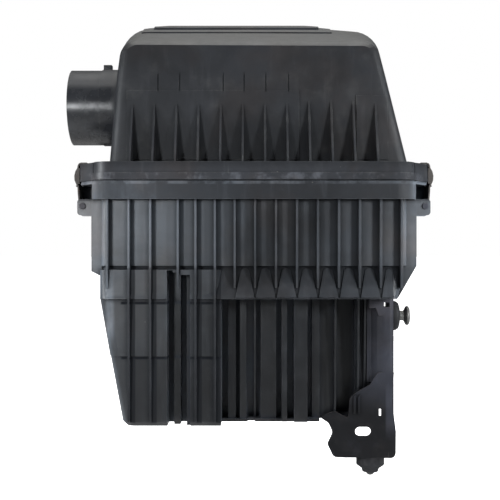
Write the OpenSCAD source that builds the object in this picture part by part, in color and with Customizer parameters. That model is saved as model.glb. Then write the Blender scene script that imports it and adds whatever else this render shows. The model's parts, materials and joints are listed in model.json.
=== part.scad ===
// Air filter housing for a small engine bay: a ribbed lower case, a cover with a round outlet
// spigot, a pleated panel element between them, four spring clips, and a folded steel bracket
// that carries a rubber foot and a mushroom-headed side stud.
// Working frame: X right, Y back, Z up, Z = 0 on the parting plane between case and cover.
// Every module moves its shape so that the part's origin is the middle of the foot's collar.

/* [Shells] */
// Width of the flange across X
flange_w = 298; // [296:0.5:300]
// Depth of the flange across Y
flange_d = 224; // [222:0.5:226]
// Corner radius of the flange in plan
flange_r = 20; // [19:0.5:21]
// Height of the case's flange band
case_band_h = 17.5; // [17:0.1:18]
// Height of the cover's flange band
cover_band_h = 16.6; // [16:0.1:17]
// Wall thickness of both shells
wall = 2.5; // [2.2:0.1:2.8]
// Depth of the case from the parting plane to its floor
case_depth = 224; // [222:1:228]
// Thickness of the moulded ribs
rib_t = 1.7; // [1.5:0.1:2.6]

/* [Outlet and inlet] */
// Outer radius of the outlet spigot
outlet_r = 37.2; // [36:0.1:38]
// Height of the outlet's axis above the parting plane
outlet_z = 79; // [78:0.5:81]
// Distance from the middle of the housing to the outlet's mouth
outlet_reach = 181; // [176:1:190]
// Bore radius of the inlet collar
inlet_r = 33; // [30:0.5:34]

/* [Spring clips] */
// Width of each spring clip along Y
clip_w = 24; // [20:1:26]
// Thickness of the clip's spring steel
clip_t = 1.6; // [1.4:0.1:1.8]
// Radius of the clip's pivot pin
pin_r = 2; // [1.8:0.1:2.2]
// Distance of each clip from the middle of the housing along Y
clip_y = 65; // [62:0.5:67]

/* [Bracket, foot and stud] */
// Thickness of the bracket's steel
steel_t = 2.5; // [2:0.1:3]
// Radius of the foot's rubber collar
foot_r = 13.6; // [13:0.1:14.2]
// Radius of the stud's shank
stud_r = 4.8; // [4.5:0.1:5]
// Radius of the stud's head
stud_head_r = 9.3; // [9:0.1:10]

/* [Filter element] */
// Number of pleats in the paper
pleats = 44; // [30:1:50]
// Height of the pleated paper
pleat_h = 41; // [35:1:44]

/* [Hidden] */
$fn = 48;

eps = 0.01;
front_y = -flange_d / 2;       // front plane of the flange
gap = 0.3;                     // clearance between parts that come apart

// Places in the working frame
foot_at = [113, -45];          // foot axis in plan
foot_z = -261;                 // underside of the bracket's bottom flange
collar_h = 10;                 // height of the foot's collar
origin = [foot_at[0], foot_at[1], foot_z - collar_h / 2];
stud_at = [-42, -127.3];       // stud axis, y and z
outlet_y = -12;
outlet_stop = 150;             // where a duct pushed over the outlet meets its root
inlet_at = [-45, -140];        // inlet axis, x and z
rear_hole_at = [92, 118];      // rear fixing axis in plan
rear_ear_z = -64;              // top face of the rear ear

// Case sections, from the flange down: outer faces x0, x1, y0, y1 at the top and at the bottom
upper_plan = [-141, 141, -101, 101];
step_z = [-78, -108, -160];    // where each panel row of the case ends
shoulder = [[-140.5, 140.5, -96.5, 99], [-140.5, 131, -108, 98]];
shoulder_left = [-140.5, -30, -106, 0];
shoulder_left_top = -81.5;
waist = [[-141.5, 119, -103.5, 98], [-132, 114, -105.5, 96]];
foot_row = [[-132, 114, -102.5, 96], [-120.5, 108, -104, 93]];
floor_bevel = 4;
reveal = [0.8, 1.2];           // step along the flange's top edge: how far in, how far down

// Front ribs of the case, their middles along X
case_rib_x = [-133, -113.5, -94, -69, -53, -35.5, -17.5, 1, 20, 39, 58, 77, 96, 115, 134];
long_rib_x = [-113.5, -94, -53, -35.5];
side_rib_y = [-96, -38, -19, 0, 19, 38, 96];
back_rib_x = [-115, -85, 10, 40, 66];
short_back_rib_x = 118;        // stops on the shoulder, because the wall below it is narrower

// Bays let into the front of the case: x from, x to, how far back, top edge
bays = [[-79, -73.5, 33, -82], [-73.5, -67.5, 21, -84], [-67.5, -61.5, 35, -86], [-61.5, -58, 16, -86],
        [-30, -24, 52, -108], [-24, -17, 37, -108], [-17, -13, 46, -108],
        [-13, -7, 36, -108], [-7, 6.5, 52, -108], [6.5, 21, 38, -108], [21, 26, 50, -108],
        [26, 31, 33, -108], [31, 37.5, 50, -108], [37.5, 50, 31, -108], [50, 55, 52, -108],
        [55, 62, 43, -108], [62, 79, 56, -108], [79, 98, 75, -108], [98, 130, 62, -108]];
// Fins that stand in the bays: x, how far back their front edge is
bay_fins = [[1, 38], [77.5, 44], [100, 50], [106.8, 54]];

// Cover: pitch of its gussets, and the front wall's lean
gusset_pitch = 20.5;
gusset_n = 12;
gusset_top = 75;
groove_x = [-89.2, -69, -28.5, -9, 11.1, 32.3];
cover_base_z = 3;
cover_lean = 0.09;
cover_y = 90;                  // half depth of the cover's base
cover_base = [-134.5, 143, -cover_y, cover_y];
cover_mid = [-128.5, 123.5, -82.5, 82.5];
// Discs that shape the cover's roof: y, x, z and radius
roof_front = [[-80.5, -108.5, 115.5, 12.5], [-80.5, 101, 114.5, 12.5],
              [-76, -108.5, 116, 17.5], [-76, 101, 115, 17.5]];
roof_back = [[76, -106, 122, 22], [76, 100, 120, 20]];
// Rods along Y that shape its plateau: x, z and radius, and the y values they run between
roof_rods = [[-102.5, 128, 29.5], [98.5, 127, 28], [-50, 147.6, 10], [66, 147.6, 10]];
roof_rod_y = [-17, 61];

// Filter element: the paper pack in plan, and the rim around it
element_box = [268, 194];
seal_w = 11.5;
seal_z = [-8.7, 2.7];

// Clip: pivot and strap, outboard of the flange's side and above the parting plane
pivot = [11, -22.5];
lug_reach = 13.5;
lug_plan = [[flange_w / 2 - 1.5, -97], [flange_w / 2 + lug_reach, -clip_y - 13],
            [flange_w / 2 + lug_reach, -clip_y + 13], [flange_w / 2 - 1.5, -clip_y + 28]];
ear_t = 2.5;
eye_clear = 0.06;
strap_path = [[13.86, -22.5], [14.7, -17], [15.3, -10], [15.6, -4], [16.8, -1.6], [18.3, 2], [18.5, 6],
              [17.6, 10], [15.8, 13], [15.4, 15.4], [14.6, 17.1], [13, 17.7], [7.5, 17.7]];
// Side webs that stiffen the strap's bulge
web_t = 1.2;
web_plan = [[14.1, -1.5], [16.6, -1.5], [18.2, 2], [18.4, 6], [17.5, 10], [15.6, 13], [14.1, 13.4]];

// Bracket: its plate's front face, its side flange's outer face, its arm's top, its slot, its screws
plate_y = -64;
bracket_x = 133.3;
arm_top = -110.2;
slot_at = [103.8, -236];
slot_r = 4.3;
slot_len = 15;
bracket_screw_at = [[-32, -150], [-32, -196]];
tower_r = 7;
insert_r = 3.98;
insert_x = 116;                // inner end of the inserts, outside the case's wall
screw_r = 2.45;

plastic = [0.20, 0.21, 0.23];
cover_plastic = [0.17, 0.18, 0.20];
steel = [0.62, 0.62, 0.60];
paint = [0.22, 0.23, 0.25];
rubber = [0.08, 0.08, 0.09];
paper = [0.86, 0.80, 0.62];
brass = [0.72, 0.58, 0.30];

// ---- helpers ----

module in_part_frame() { translate(-origin) children(); }

function unit(v) = v / norm(v);

// Arc that rounds corner q between p and s
function corner(p, q, s, r, n = 6) = r <= 0 ? [q] :
    let (a = unit(p - q), b = unit(s - q), half = acos(a * b) / 2,
         centre = q + unit(a + b) * r / sin(half),
         from = q + a * r / tan(half) - centre, to = q + b * r / tan(half) - centre,
         start = atan2(from[1], from[0]),
         sweep = (atan2(to[1], to[0]) - start + 540) % 360 - 180)
    [for (i = [0:n]) centre + r * [cos(start + sweep * i / n), sin(start + sweep * i / n)]];

// Outline whose corners, each [x, y, r], are rounded
function rounded(c) = let (n = len(c), p = [for (v = c) [v[0], v[1]]])
    [for (i = [0:n - 1]) each corner(p[(i + n - 1) % n], p[i], p[(i + 1) % n], c[i][2])];

// Outline of a strip of thickness t along a path
function side_points(path, off) = [for (i = [0:len(path) - 1])
    let (before = path[max(i - 1, 0)], after = path[min(i + 1, len(path) - 1)],
         along = unit(after - before))
    path[i] + off * [-along[1], along[0]]];
function reversed(v) = [for (i = [len(v) - 1:-1:0]) v[i]];
function strip(path, t) = concat(side_points(path, t / 2), reversed(side_points(path, -t / 2)));

// Rounded rectangle from x0, x1, y0, y1, grown by -inset
module plan(b, r, inset = 0) {
    x0 = b[0] + inset; x1 = b[1] - inset; y0 = b[2] + inset; y1 = b[3] - inset;
    translate([x0 + r, y0]) square([x1 - x0 - 2 * r, y1 - y0]);
    translate([x0, y0 + r]) square([x1 - x0, y1 - y0 - 2 * r]);
    for (x = [x0 + r, x1 - r], y = [y0 + r, y1 - r]) translate([x, y]) circle(r);
}

module slab(b, r, z0, z1, inset = 0) {
    translate([0, 0, z0]) linear_extrude(z1 - z0) plan(b, r, inset);
}

function centred(w, d) = [-w / 2, w / 2, -d / 2, d / 2];

// Outline drawn in Y and Z, pulled along X about x
module across_x(x, w) {
    translate([x - w / 2, 0, 0]) rotate([90, 0, 90]) linear_extrude(w) children();
}

// Outline drawn in X and Z, pulled back along Y from y
module back_from(y, d) {
    translate([0, y + d, 0]) rotate([90, 0, 0]) linear_extrude(d) children();
}

// Cylinder along X from x0 to x1
module rod_x(x0, x1, y, z, r) {
    translate([x0, y, z]) rotate([0, 90, 0]) cylinder(r = r, h = x1 - x0);
}

// Cylinder along Y from y0 to y1
module rod_y(y0, y1, x, z, r) {
    translate([x, y0, z]) rotate([-90, 0, 0]) cylinder(r = r, h = y1 - y0);
}

module mirrored_left() { children(); mirror([1, 0, 0]) children(); }
module front_and_rear_clips() { for (y = [-clip_y, clip_y]) translate([0, y, 0]) children(); }

// ---- lower case ----

module section(rows, z_top, z_bottom, r, inset, bevel = 0) {
    hull() {
        slab(rows[0], r, z_top, z_top + 4, inset, $fn = 32);
        low = z_bottom + inset;
        slab(rows[1], r, low + bevel, low + bevel + 1, inset, $fn = 32);
        if (bevel > 0) slab(rows[1], r - bevel, low, low + 1, inset + bevel, $fn = 32);
    }
}

// The case as a closed volume, its faces moved in by inset
module case_volume(inset) {
    difference() {
        union() {
            slab(upper_plan, 9 - inset, step_z[0] + inset, -12 + 2 * inset, inset);
            section(shoulder, step_z[0], step_z[1], 9 - inset, inset);
            section(waist, step_z[1], step_z[2], 12 - inset, inset);
            section(foot_row, step_z[2], -case_depth, 12 - inset, inset, floor_bevel);
            slab(shoulder_left, 7 - inset, step_z[1] + inset, shoulder_left_top - inset, inset);
        }
        for (b = bays) translate([b[0] - inset, front_y - 20, -case_depth - 5])
            cube([b[1] - b[0] + 2 * inset, 20 + b[2] + inset, b[3] + inset + case_depth + 5]);
    }
}

module case_flange() {
    band = centred(flange_w, flange_d);
    difference() {
        union() {
            slab(band, flange_r, -case_band_h, -reveal[1]);
            slab(band, flange_r - reveal[0], -reveal[1] - eps, 0, reveal[0]);
        }
        slab(band, flange_r - 3, -9, 1, 3);
        difference() {
            slab(band, flange_r - 3, -case_band_h - 1, -12, 3);
            slab(upper_plan, 9, -case_band_h - 2, -11);
        }
    }
}

module front_rib(x) {
    long = len([for (l = long_rib_x) if (l == x) l]) > 0;
    outline = long
        ? [[-96, -14], [-110, -17], [-110, -112], [-107.5, -219], [-98, -221]]
        : [[-96, -14], [-110, -17], [-110, -84], [-107, -98], [-98, -98]];
    across_x(x, rib_t) polygon(outline);
}

module case_ribs() {
    for (x = case_rib_x) front_rib(x);
    // side ribs hang from the flange and end in a slope
    for (y = side_rib_y) {
        back_from(y - rib_t / 2, rib_t)
            polygon([[139, -14], [149, -17], [149, -78], [132, -107.5], [128, -107.5]]);
        back_from(y - rib_t / 2, rib_t) polygon([[-139, -14], [-149, -17], [-149, -83], [-139, -88]]);
    }
    // lower side ribs follow the slope of the left wall
    for (y = [-38, 0, 38]) back_from(y - rib_t / 2, rib_t)
        polygon([[-138, -92], [-144.5, -96], [-144, -112], [-124, -219], [-118, -219], [-130, -160]]);
    for (x = back_rib_x) {
        across_x(x, rib_t) polygon([[99, -14], [108, -17], [108, -78], [103, -112],
                                    [99, -216], [91, -218], [94, -160]]);
    }
    across_x(short_back_rib_x, rib_t) polygon([[97, -14], [108, -17], [108, -78], [100, -106], [97, -106]]);
}

// Raised pads on the shoulder, narrower towards the top, between the ribs right of the bays' edge
module shoulder_pads() {
    drop = [shoulder[1][2] - shoulder[0][2], step_z[1] - step_z[0]];
    long = norm(drop) - 1;
    foot_in = rib_t / 2 - 0.1;
    translate([0, shoulder[0][2], step_z[0]]) rotate([atan2(drop[1], drop[0]) + 180, 0, 0])
        translate([0, 0, -1]) linear_extrude(3) for (i = [6:len(case_rib_x) - 2]) {
            a = case_rib_x[i]; b = min(case_rib_x[i + 1], 131);
            polygon([[a + 5.5, -5], [a + 8, -3], [b - 8, -3], [b - 5.5, -5],
                     [b - foot_in - (i == len(case_rib_x) - 2 ? 4 : 0), -long], [a + foot_in, -long]]);
        }
}

// Fins standing in the front bays
module fins() {
    for (f = bay_fins) across_x(f[0], rib_t)
        polygon([[front_y + f[1], -106], [-34, -106], [-34, 1 - case_depth],
                 [front_y + f[1] + 8, 1 - case_depth]]);
}

// Lips that carry the floor's edge past the bays
module floor_lips() {
    difference() {
        translate([-32, front_y + 34, -case_depth]) cube([93.5, 24, wall]);
        translate([-6, front_y + 33, -case_depth - 1]) cube([7, 6, wall + 2]);
    }
    translate([60, front_y + 52, -case_depth]) cube([40, 28, wall]);
}

// Ears that hold the clips' pins, and the shelf above them; the ear nearer the middle is taller
module clip_ears() {
    low = [[139, -31, 0], [139, -14, 0], [147, -14, 0], [150, -16, 0], [165, -16, 3], [165, -31, 3]];
    tall = [[139, -31, 0], [139, -14, 0], [147, -14, 0], [147, -2, 0], [167, -2, 1], [167, -31, 3]];
    for (x = [0, 1], y = [0, 1]) mirror([x, 0, 0]) mirror([0, y, 0]) {
        for (e = [[-1, low], [1, tall]])
            back_from(-clip_y + e[0] * (clip_w / 2 + gap + ear_t / 2) - ear_t / 2, ear_t)
                polygon(rounded(e[1]));
        translate([0, 0, -3]) linear_extrude(3)
            polygon([for (v = lug_plan) [v[0] - (v[0] > flange_w / 2 ? 1 : 0), v[1]]]);
    }
}

module bracket_towers() {
    for (p = bracket_screw_at) rod_x(105, bracket_x - steel_t, p[0], p[1], tower_r);
}

module rear_ear() {
    x = rear_hole_at[0];
    slab([x - 17, x + 17, 98, rear_hole_at[1] + 17], 15, rear_ear_z - 6, rear_ear_z);
    for (side = [-15.4, 15.4]) across_x(x + side, rib_t)
        polygon([[94, rear_ear_z - 1], [126, rear_ear_z - 1], [94, rear_ear_z - 34]]);
}

module case_shell() color(plastic) in_part_frame() difference() {
    union() {
        case_volume(0);
        case_flange();
        case_ribs();
        clip_ears();
        shoulder_pads();
        bracket_towers();
        rear_ear();
        fins();
        floor_lips();
        rod_y(90, 120, inlet_at[0], inlet_at[1], inlet_r + 3);
    }
    case_volume(wall);
    rod_y(60, 121, inlet_at[0], inlet_at[1], inlet_r);
    for (x = [-1, 1], y = [-clip_y, clip_y])
        rod_y(y - 20, y + 20, x * (flange_w / 2 + pivot[0]), pivot[1], pin_r + 0.02);
    for (p = bracket_screw_at) rod_x(insert_x - 0.1, 140, p[0], p[1], insert_r + 0.02);
    translate([rear_hole_at[0], rear_hole_at[1], rear_ear_z - 10]) cylinder(r = 9, h = 20);
    translate([-60, 30, -case_depth - 1]) cylinder(r = 6, h = 5);
}

// ---- cover ----

module roof_disc(y, x, z, r, inset) {
    back_from(y + (y < 0 ? inset : -inset), 1) translate([x, z]) circle(r - inset, $fn = 32);
}

// The cover above its flange as a closed volume, its faces moved in by inset
module cover_volume(inset) {
    hull() {
        slab(cover_base, 10 - inset, inset > 0 ? -1 : cover_base_z, 17, inset, $fn = 32);
        slab(cover_mid, 9 - inset, 99, 100, inset, $fn = 32);
        for (d = concat(roof_front, roof_back)) roof_disc(d[0], d[1], d[2], d[3], inset);
        for (d = roof_rods)
            rod_y(roof_rod_y[0] + inset, roof_rod_y[1] - inset, d[0], d[1], d[2] - inset, $fn = 32);
    }
}

module cover_flange() {
    ridge_h = 6.5;
    band = centred(flange_w, flange_d);
    difference() {
        union() {
            slab(band, flange_r, gap, ridge_h);
            slab(band, flange_r - 1.2, ridge_h - eps, cover_band_h, 1.2);
        }
        slab(band, flange_r - 3, -1, cover_band_h - 3, 3);
    }
    // rim that presses on the element's seal
    difference() {
        slab(centred(284, 210), 13, 3, cover_band_h - 2);
        slab(centred(278, 204), 10, 2, cover_band_h - 1);
    }
}

function cover_front_y(z) = -cover_y + (z - cover_band_h) * cover_lean;

module gusset(x, top) {
    across_x(x, rib_t) polygon([[-87, cover_band_h - 2], [front_y + 6, cover_band_h - 2],
        [front_y + 6, cover_band_h + 4], [cover_front_y(top) - 0.4, top], [cover_front_y(top) + 2, top]]);
}

module gussets() {
    for (i = [0:gusset_n - 1]) {
        x = (i - (gusset_n - 1) / 2) * gusset_pitch;
        gusset(x, gusset_top);
        if (i % 2 == 0) mirror([0, 1, 0]) gusset(x, gusset_top);
    }
}

// Low pads on the front face and the stepped panel on the roof
module cover_pads() {
    intersection() {
        cover_volume(-0.8);
        union() {
            translate([-118, -115, 20]) cube([160, 60, 65]);
            translate([95, -115, 20]) cube([29, 60, 60]);
        }
    }
    intersection() {
        cover_volume(-1);
        back_from(-41, 92) polygon([[-109, 140], [-109, 156.6], [-96, 158.8], [60, 158.8], [76, 156.7], [76, 140]]);
    }
    intersection() {
        cover_volume(-2.6);
        back_from(-30, 76) polygon([[-98, 140], [-98, 158.2], [-80, 160.6], [48, 160.6], [64, 158.2], [64, 140]]);
    }
}

// Short upright grooves above the gussets
module front_grooves() {
    difference() {
        for (x = groove_x) translate([x - 0.8, -115, 84]) cube([1.6, 60, 17]);
        cover_volume(0.2);
    }
}

// Bosses on the cover's flange that the clips hook over
module clip_lugs() {
    for (x = [0, 1], y = [0, 1]) mirror([x, 0, 0]) mirror([0, y, 0]) difference() {
        translate([0, 0, gap]) linear_extrude(cover_band_h - gap) polygon(lug_plan);
        translate([flange_w / 2 + 1, -clip_y - 11, -1]) cube([lug_reach - 4, 22, cover_band_h - 2]);
    }
}

module outlet_spigot() {
    rod_x(-outlet_reach, -118, outlet_y, outlet_z, outlet_r);
    rod_x(-outlet_stop, -118, outlet_y, outlet_z, outlet_r + 0.8);
    translate([-outlet_stop, outlet_y - 4, outlet_z + outlet_r - 2]) cube([8, 8, 7.5]);
}

module cover_shell() color(cover_plastic) in_part_frame() difference() {
    union() {
        cover_volume(0);
        cover_flange();
        cover_pads();
        gussets();
        clip_lugs();
        outlet_spigot();
    }
    cover_volume(wall);
    front_grooves();
    rod_x(-outlet_reach - 1, -100, outlet_y, outlet_z, outlet_r - 3);
}

// ---- filter element ----

module element_media() color(paper) in_part_frame() {
    low = -1 - pleat_h;
    tip = 6;                   // upright thickness of a fold at its tip
    step = element_box[0] / pleats / 2;
    xs = [for (i = [0:2 * pleats]) [i, -element_box[0] / 2 + i * step]];
    top = [for (v = xs) [v[1], v[0] % 2 == 0 ? low + tip : -1]];
    under = [for (v = xs) [v[1], v[0] % 2 == 0 ? low : -1 - tip]];
    back_from(-element_box[1] / 2, element_box[1]) polygon(concat(top, reversed(under)));
}

module element_seal() color(rubber) in_part_frame() difference() {
    slab(centred(element_box[0] + 2 * seal_w, element_box[1] + 2 * seal_w), 16.5, seal_z[0], seal_z[1]);
    translate([0, 0, seal_z[0] - 1]) linear_extrude(20) square(element_box, center = true);
}

// ---- spring clips and their pins ----

module clip() {
    eye_r = pin_r + eye_clear;
    translate([flange_w / 2, 0, 0]) difference() {
        union() {
            back_from(-clip_w / 2, clip_w) polygon(strip(strap_path, clip_t));
            back_from(-5, 10) polygon(strip([[15.8, -2.4], [19, -3.2]], 1.2));
            for (s = [-1, 1]) back_from(s * (clip_w / 2 - web_t / 2) - web_t / 2, web_t) polygon(web_plan);
            rod_y(-clip_w / 2, clip_w / 2, pivot[0], pivot[1], eye_r + clip_t);
        }
        rod_y(-clip_w, clip_w, pivot[0], pivot[1], eye_r);
    }
}

module clip_front_left() color(steel) in_part_frame() translate([0, -clip_y, 0]) mirror([1, 0, 0]) clip();
module clip_rear_left() color(steel) in_part_frame() translate([0, clip_y, 0]) mirror([1, 0, 0]) clip();
module clip_front_right() color(steel) in_part_frame() translate([0, -clip_y, 0]) clip();
module clip_rear_right() color(steel) in_part_frame() translate([0, clip_y, 0]) clip();

module clip_pins() color(steel) in_part_frame() mirrored_left() front_and_rear_clips() {
    x = flange_w / 2 + pivot[0];
    end = clip_w / 2 + gap + ear_t;
    rod_y(-end, end + 1, x, pivot[1], pin_r);
    rod_y(-end - 0.9, -end, x, pivot[1], pin_r + 0.9);
}

// ---- bracket, stud and foot ----

module bracket_plate_outline() {
    difference() {
        polygon(rounded([[62, -222, 2], [77, -216.5, 4], [89.6, -223.5, 2], [91.4, -204, 5],
            [98, -198.5, 5], [110.5, -191.5, 5], [118, -180, 3], [133.3, -180, 0], [131.6, -208, 30],
            [135.2, -236, 20], [135, -261.5, 5], [76, -260.5, 5], [69.8, -248, 4], [75, -237, 5],
            [71, -228, 5]]));
        translate(slot_at) {
            square([slot_len - 2 * slot_r, 2 * slot_r], center = true);
            for (s = [-1, 1]) translate([s * (slot_len / 2 - slot_r), 0]) circle(slot_r);
        }
        translate([119, -221.3]) square([2.2, 6.8]);
    }
}

module bracket_arm() {
    side_x = bracket_x - steel_t / 2;
    front = plate_y + steel_t / 2;
    translate([0, 0, -190]) linear_extrude(190 + arm_top) polygon(strip([[108.7, -53.4], [112, -53.6],
        [114, -54.6], [118.5, -60.5], [123, front], [side_x - 3, front], [side_x - 1.2, front + 0.5],
        [side_x - 0.3, front + 1.5], [side_x, front + 3], [side_x, -30]], steel_t));
}

module side_bracket() color(paint) in_part_frame() difference() {
    union() {
        back_from(plate_y, steel_t) bracket_plate_outline();
        bracket_arm();
        // side flange, taller than the arm, with its corners rounded
        across_x(bracket_x - steel_t / 2, steel_t)
            polygon(rounded([[plate_y + 3, -109, 0], [-24, -109, 10], [-18, -140, 8],
                             [-18, -205, 8], [-27, -261, 6], [plate_y + 1, -261, 0]]));
        slab([80, bracket_x, plate_y + 0.5, -27], 8, foot_z, foot_z + steel_t);
        back_from(plate_y, steel_t) polygon([[110, -118.6], [110, arm_top], [125, arm_top],
                                             [125, -126], [119, -126], [116, -118.6]]);
        for (x = [95.7, 100]) back_from(plate_y - 1.5, 3)
            polygon([[x - 1, -219], [x - 1, -203], [x + 1, -201], [x + 1, -219]]);
    }
    translate([123.8, plate_y - 1, -117.7]) cube([5.2, steel_t + 2, 4.3]);
    rod_x(120, 140, stud_at[0], stud_at[1], stud_r + 0.1);
    for (p = bracket_screw_at) rod_x(120, 140, p[0], p[1], screw_r + 0.25);
    translate([foot_at[0], foot_at[1], foot_z - 5]) cylinder(r = 8, h = 12);
}

module turned_x(x, y, z) { translate([x, y, z]) rotate([0, 90, 0]) rotate_extrude() children(); }

module bracket_screws() color(steel) in_part_frame() for (p = bracket_screw_at) {
    rod_x(117, bracket_x + 1, p[0], p[1], screw_r);
    rod_x(bracket_x, bracket_x + 1, p[0], p[1], 6);
    translate([bracket_x + 1, p[0], p[1]]) rotate([0, 90, 0]) cylinder(r = 4.6, h = 3, $fn = 6);
}

module bracket_inserts() color(brass) in_part_frame() for (p = bracket_screw_at) difference() {
    rod_x(insert_x, bracket_x - steel_t, p[0], p[1], insert_r);
    rod_x(115, bracket_x, p[0], p[1], screw_r + 0.05);
}

module side_stud() color(steel) in_part_frame() turned_x(0, stud_at[0], stud_at[1])
    polygon([[0, 121], [stud_r - 1, 121], [stud_r, 122], [stud_r, 145.6], [stud_head_r - 0.6, 147.6],
             [stud_head_r, 148.2], [stud_head_r, 150], [stud_head_r - 1.6, 151], [4, 151.6], [0, 151.7]]);

module stud_grommet() color(rubber) in_part_frame() turned_x(bracket_x, stud_at[0], stud_at[1])
    polygon([[stud_r + 0.05, 0], [14.1, 0], [14.4, 2], [14.1, 4.5], [12.6, 6.8], [10, 7.6],
             [stud_r + 0.05, 7.6]]);

module stud_nut() color(steel) in_part_frame() difference() {
    translate([bracket_x - steel_t - 6, stud_at[0], stud_at[1]])
        rotate([0, 90, 0]) cylinder(r = 9.2, h = 6, $fn = 6);
    rod_x(110, 140, stud_at[0], stud_at[1], stud_r + 0.03);
}

module on_foot_axis() { translate([foot_at[0], foot_at[1], foot_z]) children(); }

module foot_rubber() color(rubber) in_part_frame() on_foot_axis() rotate_extrude()
    polygon([[3.95, 8], [9.5, 8], [11, 6.8], [11, steel_t], [7.97, steel_t], [7.97, 0], [foot_r, 0],
             [foot_r, -collar_h], [10.4, -12.4], [8.6, -13.4], [7.6, -17], [3.95, -17.4]]);

module foot_bolt() color(steel) in_part_frame() on_foot_axis() rotate_extrude()
    polygon([[0, -20.2], [2.4, -20.2], [3.9, -18.4], [3.9, 15], [3.3, 15.8], [0, 15.8]]);

module foot_nut() color(steel) in_part_frame() on_foot_axis() difference() {
    union() {
        translate([0, 0, 8]) cylinder(r = 8.6, h = 1.4);
        translate([0, 0, 9.4 - eps]) cylinder(r = 7.4, h = 5, $fn = 6);
    }
    cylinder(r = 3.93, h = 20);
}

// ---- rear fixing, inlet gasket and drain ----

module rear_grommet() color(rubber) in_part_frame()
    translate([rear_hole_at[0], rear_hole_at[1], rear_ear_z]) rotate_extrude()
        polygon([[6, 3.4], [12.2, 3.4], [13, 2.6], [13, 0], [8.98, 0], [8.98, -6], [13, -6], [13, -8.6],
                 [12.2, -9.4], [6, -9.4]]);

module rear_sleeve() color(steel) in_part_frame()
    translate([rear_hole_at[0], rear_hole_at[1], rear_ear_z - 10]) difference() {
        cylinder(r = 5.98, h = 14);
        translate([0, 0, -1]) cylinder(r = 4.2, h = 16);
    }

module inlet_gasket() color(rubber) in_part_frame()
    translate([inlet_at[0], 0, inlet_at[1]]) rotate([-90, 0, 0]) rotate_extrude()
        polygon([[inlet_r - 2.5, 104], [inlet_r - 0.02, 104], [inlet_r - 0.02, 120], [inlet_r + 3, 120],
                 [inlet_r + 3, 121.6], [inlet_r + 2.2, 122.4], [inlet_r - 2.5, 122.4]]);

module drain_valve() color(rubber) in_part_frame() translate([-60, 30, -case_depth]) rotate_extrude()
    polygon([[2.6, wall + 1.6], [8.6, wall + 1.6], [8.6, wall], [5.95, wall], [5.95, 0], [8.4, 0],
             [8.4, -1.6], [6, -2.4], [4.4, -9], [2.6, -9]]);

case_shell();
cover_shell();
element_media();
element_seal();
clip_front_left();
clip_rear_left();
clip_front_right();
clip_rear_right();
clip_pins();
side_bracket();
bracket_screws();
bracket_inserts();
side_stud();
stud_grommet();
stud_nut();
foot_rubber();
foot_bolt();
foot_nut();
rear_grommet();
rear_sleeve();
inlet_gasket();
drain_valve();
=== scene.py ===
import bpy, json, math
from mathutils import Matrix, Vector


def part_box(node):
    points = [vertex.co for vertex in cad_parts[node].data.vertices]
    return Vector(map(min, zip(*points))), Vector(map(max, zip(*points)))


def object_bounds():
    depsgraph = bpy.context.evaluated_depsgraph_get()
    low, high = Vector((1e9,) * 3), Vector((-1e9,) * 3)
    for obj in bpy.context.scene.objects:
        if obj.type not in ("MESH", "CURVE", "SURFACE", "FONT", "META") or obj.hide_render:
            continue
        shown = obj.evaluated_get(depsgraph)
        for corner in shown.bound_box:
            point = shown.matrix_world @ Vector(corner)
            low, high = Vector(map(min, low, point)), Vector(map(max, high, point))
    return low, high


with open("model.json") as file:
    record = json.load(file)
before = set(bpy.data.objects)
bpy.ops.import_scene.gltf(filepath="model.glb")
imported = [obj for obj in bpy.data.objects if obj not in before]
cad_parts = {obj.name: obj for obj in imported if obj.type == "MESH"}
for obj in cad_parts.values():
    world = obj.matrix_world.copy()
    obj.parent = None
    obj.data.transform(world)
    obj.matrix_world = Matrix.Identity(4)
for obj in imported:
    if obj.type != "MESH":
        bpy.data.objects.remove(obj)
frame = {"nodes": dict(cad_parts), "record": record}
CAD_LO, CAD_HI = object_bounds()
scene = bpy.context.scene

# Places on the housing, in metres in the part's own frame
CASE_LO, CASE_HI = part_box("case_shell")
MIDDLE_X = (CASE_LO.x + CASE_HI.x) / 2
FRONT_Y = CAD_LO.y                     # front plane of the flanges
PARTING_Z = CASE_HI.z                  # where the case and the cover meet
LEDGE_Z = PARTING_Z - 0.109            # foot of the shoulder, where the bays and lower panels start
BAND_Z = PARTING_Z - 0.0175            # lower edge of the case's flange
COVER_BAND_Z = PARTING_Z + 0.017       # upper edge of the cover's flange
OUTLET_X = MIDDLE_X - 0.136            # where the outlet leaves the cover
LONG_RIBS_X = [MIDDLE_X + d for d in (-0.1135, -0.094, -0.053, -0.0355)]
SHORT_GROOVES_X = [MIDDLE_X + d for d in (-0.0892, -0.069, -0.0285, -0.009, 0.0111, 0.0323)]

# How the meshes are finished
EDGE_RADIUS = 0.0005
SHARP = math.radians(32)               # corners over this angle are rounded
FLAT = math.radians(0.5)               # faces within this angle become one

# Where the camera stands: its distance, and its place against the middle and the parting plane
CAMERA_AWAY = 0.855
CAMERA_LEFT = 0.0036
CAMERA_DOWN = 0.0635


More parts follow.
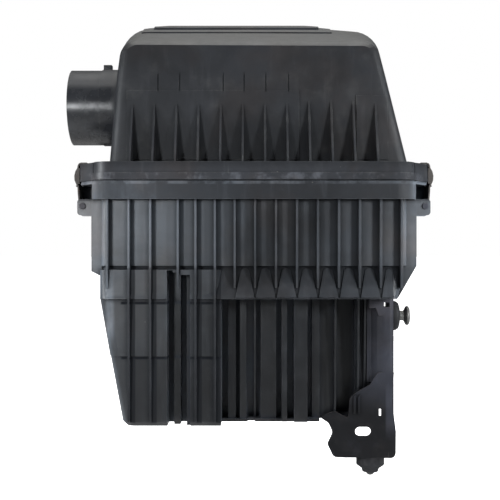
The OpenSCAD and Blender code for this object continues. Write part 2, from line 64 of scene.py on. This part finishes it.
# ---------------------------------------------------------------- node helpers
class Mat:
    """A small helper round one material's node tree."""

    def __init__(self, name):
        self.m = bpy.data.materials.new(name)
        self.m.use_nodes = True
        self.t = self.m.node_tree
        self.t.nodes.clear()
        self.out = self.n("ShaderNodeOutputMaterial")
        self.b = self.n("ShaderNodeBsdfPrincipled")
        self.link(self.b.outputs[0], self.out.inputs[0])
        self.co = self.n("ShaderNodeTexCoord").outputs["Object"]

    def n(self, kind, **settings):
        node = self.t.nodes.new(kind)
        for name, value in settings.items():
            setattr(node, name, value)
        return node

    def link(self, a, b):
        self.t.links.new(a, b)

    def set(self, socket, v):
        if hasattr(v, "is_output"):
            self.link(v, socket)
        else:
            socket.default_value = v

    def mapped(self, scale=(1, 1, 1), rot=(0, 0, 0)):
        x = self.n("ShaderNodeMapping")
        self.link(self.co, x.inputs[0])
        x.inputs["Scale"].default_value = scale
        x.inputs["Rotation"].default_value = rot
        return x.outputs[0]

    def noise(self, scale, detail=4, rough=0.55, co=None, dist=0.0):
        x = self.n("ShaderNodeTexNoise")
        self.link(co or self.co, x.inputs["Vector"])
        x.inputs["Scale"].default_value = scale
        x.inputs["Detail"].default_value = detail
        x.inputs["Roughness"].default_value = rough
        x.inputs["Distortion"].default_value = dist
        return x.outputs["Fac"]

    def voronoi(self, scale, co=None):
        """Distance to the nearest of many scattered points."""
        x = self.n("ShaderNodeTexVoronoi")
        self.link(co or self.co, x.inputs["Vector"])
        x.inputs["Scale"].default_value = scale
        return x.outputs["Distance"]

    def step(self, v, a, b):
        """0 at a, 1 at b and smooth between; b may be the lower one."""
        x = self.n("ShaderNodeMapRange", interpolation_type="SMOOTHSTEP")
        self.set(x.inputs["Value"], v)
        x.inputs["From Min"].default_value = a
        x.inputs["From Max"].default_value = b
        return x.outputs[0]

    def above(self, v, at, soft=0.001):
        return self.step(v, at - soft, at + soft)

    def below(self, v, at, soft=0.001):
        return self.step(v, at + soft, at - soft)

    def inside(self, v, a, b, soft=0.001):
        """1 where v lies between a and b."""
        return self.times(self.above(v, a, soft), self.below(v, b, soft))

    def along(self, v, a, b, stops):
        """A curve over v from a to b, its stops as (share, value)."""
        share = self.n("ShaderNodeMapRange")
        self.link(v, share.inputs["Value"])
        share.inputs["From Min"].default_value = a
        share.inputs["From Max"].default_value = b
        curve = self.n("ShaderNodeValToRGB")
        self.link(share.outputs[0], curve.inputs[0])
        elements = curve.color_ramp.elements
        while len(elements) < len(stops):
            elements.new(0.5)
        for element, (place, value) in zip(elements, stops):
            element.position = place
            element.color = (value, value, value, 1)
        return curve.outputs[0]

    def math(self, op, a, b=0.0, clamp=False):
        x = self.n("ShaderNodeMath", operation=op, use_clamp=clamp)
        self.set(x.inputs[0], a)
        self.set(x.inputs[1], b)
        return x.outputs[0]

    def fold(self, op, values):
        out = values[0]
        for v in values[1:]:
            out = self.math(op, out, v)
        return out

    def times(self, *v):
        return self.fold("MULTIPLY", v)

    def total(self, *v):
        return self.fold("ADD", v)

    def most(self, *v):
        return self.fold("MAXIMUM", v)

    def less(self, v):
        """What v leaves of 1."""
        return self.math("SUBTRACT", 1.0, v)

    def mix(self, fac, a, b):
        x = self.n("ShaderNodeMix", data_type="RGBA")
        self.set(x.inputs[0], fac)
        for socket, v in ((x.inputs[6], a), (x.inputs[7], b)):
            self.set(socket, (*v, 1) if isinstance(v, tuple) else v)
        return x.outputs[2]

    def pos(self):
        """The point's own place on the object, in metres, as x, y and z."""
        x = self.n("ShaderNodeSeparateXYZ")
        self.link(self.co, x.inputs[0])
        return x.outputs[0], x.outputs[1], x.outputs[2]

    def normal(self, axis):
        x = self.n("ShaderNodeSeparateXYZ")
        self.link(self.n("ShaderNodeTexCoord").outputs["Normal"], x.inputs[0])
        return x.outputs[axis]

    def edges(self, radius, low=0.02, high=0.25):
        """1 on sharp edges within radius, 0 on flat faces."""
        rounded = self.n("ShaderNodeBevel", samples=4)
        rounded.inputs["Radius"].default_value = radius
        geometry = self.n("ShaderNodeNewGeometry")
        dot = self.n("ShaderNodeVectorMath", operation="DOT_PRODUCT")
        self.link(rounded.outputs[0], dot.inputs[0])
        self.link(geometry.outputs["Normal"], dot.inputs[1])
        return self.step(self.less(dot.outputs["Value"]), low, high)

    def cavity(self, distance):
        """1 deep in a corner, 0 in the open."""
        ao = self.n("ShaderNodeAmbientOcclusion", samples=4)
        ao.inputs["Distance"].default_value = distance
        return self.less(ao.outputs["AO"])

    def bump(self, height, strength, distance, before=None):
        x = self.n("ShaderNodeBump")
        x.inputs["Strength"].default_value = strength
        x.inputs["Distance"].default_value = distance
        self.link(height, x.inputs["Height"])
        if before is not None:
            self.link(before, x.inputs["Normal"])
        return x.outputs[0]


def srgb(*v):
    return tuple(((c / 255 + 0.055) / 1.055) ** 2.4 if c > 10 else c / 255 / 12.92 for c in v)


# ---------------------------------------------------------------- materials
def plastic(name, dark, aged_and_lit, dust, rough, painted_shade_strength, gloss, streak=(1, 1, 0.12), reach=0.0065,
            ageing_and_light=None, shine=None, silt=None, deep=None, clean=None, lines=None):
    """Moulded plastic: unevenly weathered, dusty on top, scuffed at its edges, darkened by painted shade in
    its corners and recesses.
    """
    m = Mat(name)
    big = m.noise(11, 5, 0.62, dist=0.5)
    mid = m.noise(60, 6, 0.62)

    # weathering in patches and faint streaks, partly of a warmer tint; for the case and the bracket's paint
    # the mask passed in also paints light and shade by region
    streaks = m.noise(90, 4, 0.6, co=m.mapped(streak))
    aged_and_lit_by = m.times(m.total(0.55, m.step(big, 0.28, 0.72)), ageing_and_light(m))
    aged_and_lit_by = m.math("ADD", aged_and_lit_by, m.times(m.step(streaks, 0.52, 0.78), 0.1), clamp=True)
    warm = tuple(a * b for a, b in zip(aged_and_lit, (1.12, 0.96, 0.86)))
    tint = m.mix(m.step(m.noise(16, 4, 0.6), 0.45, 0.68), aged_and_lit, warm)
    base = m.mix(aged_and_lit_by, dark, tint)

    # dust on faces that look up, scuffed edges, short scratches and specks
    up = m.step(m.normal(2), 0.3, 0.95)
    if clean:
        up = m.times(up, clean(m))
    dusty = m.most(m.times(m.step(mid, 0.5, 0.8), 0.1), m.times(up, 0.5))
    base = m.mix(dusty, base, dust)
    scuff = m.times(m.edges(0.0011), m.step(mid, 0.42, 0.62))
    base = m.mix(m.times(scuff, 0.4), base, dust)
    strokes = m.voronoi(150, co=m.mapped((1, 1, 0.07), (0, 0.5, 0)))
    scratch = m.times(m.step(strokes, 0.1, 0.04), m.step(m.noise(10, 3), 0.54, 0.62))
    base = m.mix(m.times(scratch, 0.3), base, dust)
    specks = m.step(m.voronoi(95), 0.035, 0.02)
    base = m.mix(m.times(specks, m.step(m.noise(7, 2), 0.52, 0.6), 0.55), base, srgb(150, 148, 142))

    # painted shade: darker in the corners and recesses, from an occlusion mask, and along the painted shadow
    # lines, with a duller, less specular finish there too
    painted_shade = m.times(m.step(m.cavity(reach), 0.16, 0.36), painted_shade_strength)
    painted_shade_colour = srgb(12, 13, 16)
    if silt:
        base = m.mix(silt(m), base, srgb(88, 84, 84))
    # in the bays the painted shade takes a paler colour, painted fill light where little light reaches
    if deep:
        painted_shade_colour = m.mix(deep(m), painted_shade_colour, srgb(52, 55, 62))
    if lines:
        painted_shade = m.most(painted_shade, lines(m))
    base = m.mix(painted_shade, base, painted_shade_colour)
    m.link(base, m.b.inputs["Base Color"])

    roughness = m.total(rough, m.times(m.step(mid, 0.25, 0.8), 0.14), m.times(painted_shade, 0.25), m.times(up, 0.1))
    level = m.times(m.less(painted_shade), gloss)
    if shine:
        more_rough, factor = shine(m)
        roughness = m.total(roughness, more_rough)
        level = m.times(level, factor)
    m.link(roughness, m.b.inputs["Roughness"])
    m.link(level, m.b.inputs["Specular IOR Level"])
    grain = m.noise(1500, 3, 0.6)
    m.link(m.bump(grain, 0.25, 0.0003, m.bump(big, 0.2, 0.002)), m.b.inputs["Normal"])
    return m.m


def in_bays(m):
    """1 in the front bays below the shoulder."""
    x, y, z = m.pos()
    return m.times(m.step(y, -0.062, -0.05), m.below(z, LEDGE_Z, 0.0005))


def bay_painted_fill(m):
    """Painted fill light: a paler shade colour in the narrow bays, hardly any in the wide ones on the right.
    """
    x, y, z = m.pos()
    wide = m.above(x, -0.0525)
    return m.times(in_bays(m), m.less(m.times(wide, 0.6)))


def case_ageing_and_painted_light(m):
    """Painted light and shade: palest on the upper panels and towards both ends, where the lamps fall most,
    and hardly paler at all in the bays and low down, where shade falls.
    """
    x, y, z = m.pos()
    # painted light: paler towards each end, nearer the side lamps, and by height: palest on the upper
    # panels, darker on the flange band and further down; the bays keep half of it, as painted shade
    ends = m.along(x, -0.26, 0.035, (
        (0, 1.0), (0.15, 0.8), (0.3, 0.6), (0.48, 0.3), (0.66, 0.22), (0.8, 0.36), (0.93, 0.5), (1, 0.85)))
    rows = m.along(z, 0.04, 0.27, (
        (0, 0.05), (0.28, 0.07), (0.29, 0.1), (0.51, 0.12), (0.52, 0.2), (0.63, 0.24), (0.65, 0.42),
        (0.89, 0.42), (0.91, 0.12), (1, 0.12)))
    back = m.step(y, -0.04, 0.02)
    rows = m.total(m.times(rows, m.less(back)), m.times(back, 0.2))
    aged_and_lit = m.times(m.total(0.12, ends), rows, m.less(m.times(in_bays(m), 0.5)))

    # a paler worn patch on the flange's left end; a paler, broken line along its top edge, partly scuffing
    # and partly a painted highlight; and the side-facing walls at both ends made paler as painted light
    wear_and_highlight_noise = m.step(m.noise(55, 5, 0.65), 0.4, 0.62)
    patch = m.times(m.step(z, 0.247, 0.249), m.step(x, -0.2, -0.2015), m.total(0.03, m.times(wear_and_highlight_noise, 0.07)))
    rubbed_and_highlit = m.times(m.inside(z, PARTING_Z - 0.0038, PARTING_Z - 0.0011, 0.0006), wear_and_highlight_noise, 0.26)
    sideways = m.times(m.step(m.math("ABSOLUTE", m.normal(0)), 0.5, 0.9), 0.34)

    # painted light: paler on the ears behind the clips, which lie in shade, on the backs of the narrow bays,
    # painted fill light with some settled dust, and a painted highlight on the lower left corner
    off_middle = m.math("ABSOLUTE", m.math("SUBTRACT", x, MIDDLE_X))
    ears = m.times(m.inside(y, -0.012, -0.001), m.step(off_middle, 0.1488, 0.15), 0.9)
    slots = m.times(m.inside(y, -0.018, 0.01), m.inside(x, -0.15, -0.056), m.below(z, LEDGE_Z, 0.0005), 0.9)
    left_slots = m.times(m.inside(y, -0.045, -0.02), m.inside(x, -0.194, -0.168), m.below(z, 0.186), 0.5)
    corner = m.times(m.inside(x, -0.2475, -0.2405, 0.002), m.inside(z, 0.125, 0.178, 0.012), 0.5)
    painted_fill_and_highlight = m.most(ears, slots, left_slots, corner)
    return m.math("ADD", m.total(aged_and_lit, patch, rubbed_and_highlit, sideways), painted_fill_and_highlight, clamp=True)


def case_shine(m):
    """The flange is duller than the rest."""
    x, y, z = m.pos()
    band = m.above(z, BAND_Z)
    return m.times(band, 0.2), m.less(m.times(band, 0.5))


def case_painted_shadow_lines(m):
    """Painted shadows: dark lines along the two joints that cross the left panels, where their ledges cast
    shade, and in the channels beside the long ribs, where the ribs' shadows fall.
    """
    x, y, z = m.pos()
    joints = m.total(m.inside(z, 0.1530, 0.1556, 0.0005), m.inside(z, 0.1030, 0.1054, 0.0005))
    joints = m.times(joints, m.inside(x, -0.234, -0.139), m.inside(y, -0.0636, -0.04), 0.85)
    beside = ((0, 0), (0.1, 0.5), (0.3, 0.5), (0.4, 1), (0.9, 1), (1, 0))
    channels = m.total(*[m.along(x, rib - 0.0015, rib + 0.006, beside) for rib in LONG_RIBS_X])
    channels = m.times(channels, m.inside(z, 0.045, 0.1865), m.step(y, -0.03, -0.04), 0.62)
    return m.most(joints, channels)


def floor_silt(m):
    """Brownish silt along the case's lowest edges."""
    x, y, z = m.pos()
    low = m.step(z, CASE_LO.z + 0.008, CASE_LO.z)
    return m.times(low, m.step(m.noise(40, 5), 0.4, 0.7), 0.35)


def on_outlet(m):
    x, y, z = m.pos()
    return m.below(x, OUTLET_X, 0.003)


def cover_ageing(m):
    """Dull and even, a little paler along the flange."""
    x, y, z = m.pos()
    even = m.along(z, 0.26, 0.43, ((0, 0.22), (0.09, 0.2), (0.12, 0.12), (0.5, 0.12), (0.9, 0.16), (1, 0.3)))
    wear_and_highlight_noise = m.step(m.noise(70, 5, 0.65), 0.48, 0.64)
    # a paler broken band along the flange's ridge, partly scuffing and partly a painted highlight
    foot = m.inside(z, PARTING_Z + 0.0002, PARTING_Z + 0.0068, 0.0006)
    return m.total(even, m.times(foot, wear_and_highlight_noise, 0.3))


def cover_shine(m):
    """The outlet is polished by its duct; the flange is duller than the rest."""
    x, y, z = m.pos()
    polished = m.times(on_outlet(m), m.step(m.normal(2), 0.62, 0.3))
    flange = m.below(z, COVER_BAND_Z)
    more_rough = m.math("SUBTRACT", m.times(flange, 0.2), m.times(polished, 0.26))
    factor = m.math("SUBTRACT", m.total(1.0, m.times(polished, 1.2)), m.times(flange, 0.5))
    return more_rough, factor


def cover_painted_shade_lines(m):
    """Painted shade: dark lines along the shallow grooves above the gussets."""
    x, y, z = m.pos()
    lines = m.total(*[m.inside(x, groove - 0.0007, groove + 0.0007, 0.0004) for groove in SHORT_GROOVES_X])
    return m.times(lines, m.inside(z, 0.3505, 0.367, 0.003), m.step(y, 0.0, -0.01), 0.6)


def cover_dust(m):
    """Hardly any dust stays on the outlet."""
    return m.less(m.times(on_outlet(m), 0.85))


def paint_ageing_and_painted_light(m):
    """Blacker on the plate below; paler up the arm and low on its right face, painted light of the arm's lit
    face.
    """
    x, y, z = m.pos()
    up = m.along(z, 0.0, 0.16, ((0, 0.05), (0.3, 0.04), (0.44, 0.3), (0.55, 0.5), (1, 0.5)))
    return m.total(up, m.times(m.above(x, 0.0125), m.inside(z, 0.03, 0.07, 0.01), 0.35))


def metal(name, base, tint, rough=0.38, rust=0.25):
    """Bare metal with a fine grain, blotches and a little rust."""
    m = Mat(name)
    fine = m.noise(700, 4, 0.6, co=m.mapped((1, 1, 0.1)))
    blot = m.noise(70, 5, 0.65)
    colour = m.mix(m.times(m.step(blot, 0.35, 0.7), 0.5), base, tint)
    colour = m.mix(m.times(m.step(m.noise(160, 6, 0.7), 0.56, 0.72), rust), colour, srgb(112, 74, 48))
    m.link(colour, m.b.inputs["Base Color"])
    m.b.inputs["Metallic"].default_value = 0.9
    m.link(m.total(rough, m.times(fine, 0.2)), m.b.inputs["Roughness"])
    m.link(m.bump(fine, 0.15, 0.0002), m.b.inputs["Normal"])
    return m.m


def matt(name, dark, light):
    """Rubber, foam or paper: two close tones and a fine grain."""
    m = Mat(name)
    blot = m.noise(120, 5, 0.6)
    m.link(m.mix(m.step(blot, 0.35, 0.7), dark, light), m.b.inputs["Base Color"])
    m.link(m.total(0.62, m.times(blot, 0.2)), m.b.inputs["Roughness"])
    m.b.inputs["Specular IOR Level"].default_value = 0.35
    m.link(m.bump(m.noise(1300, 3, 0.6), 0.3, 0.0003), m.b.inputs["Normal"])
    return m.m


looks = {
    "case_plastic": plastic("case_plastic", srgb(15, 16, 19), srgb(100, 106, 114), srgb(90, 92, 98),
                            rough=0.34, painted_shade_strength=0.72, gloss=0.38, reach=0.0055, ageing_and_light=case_ageing_and_painted_light,
                            shine=case_shine, silt=floor_silt, deep=bay_painted_fill, lines=case_painted_shadow_lines),
    "cover_plastic": plastic("cover_plastic", srgb(16, 17, 19), srgb(84, 86, 92), srgb(100, 100, 98),
                             rough=0.46, painted_shade_strength=0.25, gloss=0.22, reach=0.005, ageing_and_light=cover_ageing,
                             shine=cover_shine, clean=cover_dust, lines=cover_painted_shade_lines),
    "black_paint": plastic("black_paint", srgb(11, 11, 13), srgb(66, 68, 78), srgb(88, 82, 80),
                           rough=0.42, painted_shade_strength=0.6, gloss=0.2, streak=(1, 1, 1), ageing_and_light=paint_ageing_and_painted_light),
    "spring_steel": metal("spring_steel", srgb(72, 69, 67), srgb(54, 50, 48), 0.5),
    "bright_steel": metal("bright_steel", srgb(118, 118, 116), srgb(84, 83, 82), 0.4, 0.15),
    "brass": metal("brass", srgb(176, 142, 74), srgb(150, 116, 56), rust=0.0),
    "filter_paper": matt("filter_paper", srgb(205, 192, 150), srgb(222, 210, 172)),
    "seal_foam": matt("seal_foam", srgb(40, 40, 42), srgb(54, 54, 56)),
    "rubber": matt("rubber", srgb(20, 20, 22), srgb(34, 34, 37)),
    "foot_rubber": matt("foot_rubber", srgb(42, 42, 45), srgb(66, 64, 66)),
}

# Each node has its slot's look, apart from the foot, whose rubber is paler than the grommets'
look_of = {s["node"]: s["material_slot"] for s in frame["record"]["subparts"]}
look_of["foot_rubber"] = "foot_rubber"


# ---------------------------------------------------------------- the CAD nodes
def finish_node(o):
    """Gives an imported mesh its material, and rounds its edges unless it is of folded paper."""
    o.data.materials.clear()
    o.data.materials.append(looks[look_of[o.name]])
    if o.name == "element_media":
        return
    weld = o.modifiers.new("weld", "WELD")
    weld.merge_threshold = 1e-6
    flats = o.modifiers.new("flats", "DECIMATE")
    flats.decimate_type = "DISSOLVE"
    flats.angle_limit = FLAT
    edges = o.modifiers.new("edges", "BEVEL")
    edges.width = EDGE_RADIUS
    edges.segments = 2
    edges.limit_method = "ANGLE"
    edges.angle_limit = SHARP
    o.data.shade_smooth()
    normals = o.modifiers.new("normals", "WEIGHTED_NORMAL")
    normals.keep_sharp = True
    normals.weight = 60


for node in frame["nodes"].values():
    finish_node(node)


# ---------------------------------------------------------------- stage
def make_floor(size=30):
    """A plain pale floor that the camera sees as white."""
    z = CAD_LO.z
    mesh = bpy.data.meshes.new("floor")
    corners = [(-size, -size, z), (size, -size, z), (size, size, z), (-size, size, z)]
    mesh.from_pydata(corners, [], [(0, 1, 2, 3)])
    floor = bpy.data.objects.new("floor", mesh)
    scene.collection.objects.link(floor)
    m = Mat("pale_floor")
    m.link(m.mix(m.times(m.noise(4, 3), 0.1), (0.93, 0.93, 0.93), (0.9, 0.9, 0.9)), m.b.inputs["Base Color"])
    m.b.inputs["Roughness"].default_value = 0.9
    glow = m.n("ShaderNodeEmission")
    seen = m.n("ShaderNodeLightPath").outputs["Is Camera Ray"]
    m.link(m.times(seen, 1.6), glow.inputs["Strength"])
    both = m.n("ShaderNodeAddShader")
    m.link(m.b.outputs[0], both.inputs[0])
    m.link(glow.outputs[0], both.inputs[1])
    m.link(both.outputs[0], m.out.inputs[0])
    mesh.materials.append(m.m)


def make_world():
    """A white backdrop that lights the housing only a little."""
    world = bpy.data.worlds.new("studio")
    scene.world = world
    world.use_nodes = True
    tree = world.node_tree
    dim = tree.nodes["Background"]
    dim.inputs["Color"].default_value = (0.86, 0.93, 1.0, 1)
    dim.inputs["Strength"].default_value = 0.07
    white = tree.nodes.new("ShaderNodeBackground")
    white.inputs["Color"].default_value = (1, 1, 1, 1)
    white.inputs["Strength"].default_value = 1.0
    ray = tree.nodes.new("ShaderNodeLightPath")
    pick = tree.nodes.new("ShaderNodeMixShader")
    tree.links.new(ray.outputs["Is Camera Ray"], pick.inputs[0])
    tree.links.new(dim.outputs[0], pick.inputs[1])
    tree.links.new(white.outputs[0], pick.inputs[2])
    tree.links.new(pick.outputs[0], tree.nodes["World Output"].inputs[0])


def softbox(name, at, to, size, power, colour, spread=180):
    light = bpy.data.lights.new(name, "AREA")
    light.shape = "RECTANGLE"
    light.size, light.size_y = size
    light.energy = power
    light.color = colour
    light.spread = math.radians(spread)
    o = bpy.data.objects.new(name, light)
    scene.collection.objects.link(o)
    o.location = at
    o.rotation_euler = (Vector(to) - Vector(at)).to_track_quat("-Z", "Y").to_euler()


make_floor()
make_world()

# Two narrow keys in front, a tall box at each side and a large one overhead
KEY = {"size": (0.1, 0.12), "power": 0.3, "colour": (0.95, 0.98, 1.0), "spread": 50}
SIDE = {"size": (0.2, 0.45), "colour": (0.93, 0.97, 1.0), "spread": 90}
softbox("left_key", (-0.505, -0.752, 0.3), (-0.23, FRONT_Y, 0.22), **KEY)
softbox("right_key", (0.364, -0.558, 0.33), (0.02, FRONT_Y, 0.24), **KEY)
softbox("left_side", (-0.72, -0.25, 0.34), (-0.27, FRONT_Y, 0.2), power=1.2, **SIDE)
softbox("right_side", (0.49, -0.25, 0.4), (0.04, FRONT_Y, 0.24), power=1.0, **SIDE)
softbox("top_box", (-0.115, 0.05, 1.25), (-0.115, 0.045, 0.4), (0.9, 0.7), 12, (1.0, 0.99, 0.97))

# The camera looks straight at the front, level
lens = bpy.data.cameras.new("camera")
lens.lens = 68.4
lens.sensor_width = 36
lens.clip_start = 0.05
lens.clip_end = 100
camera = bpy.data.objects.new("camera", lens)
scene.collection.objects.link(camera)
camera.location = (MIDDLE_X - CAMERA_LEFT, FRONT_Y - CAMERA_AWAY, PARTING_Z - CAMERA_DOWN)
camera.rotation_euler = (math.radians(90), 0, 0)
scene.camera = camera
scene.view_settings.view_transform = "Standard"
scene.view_settings.look = "None"
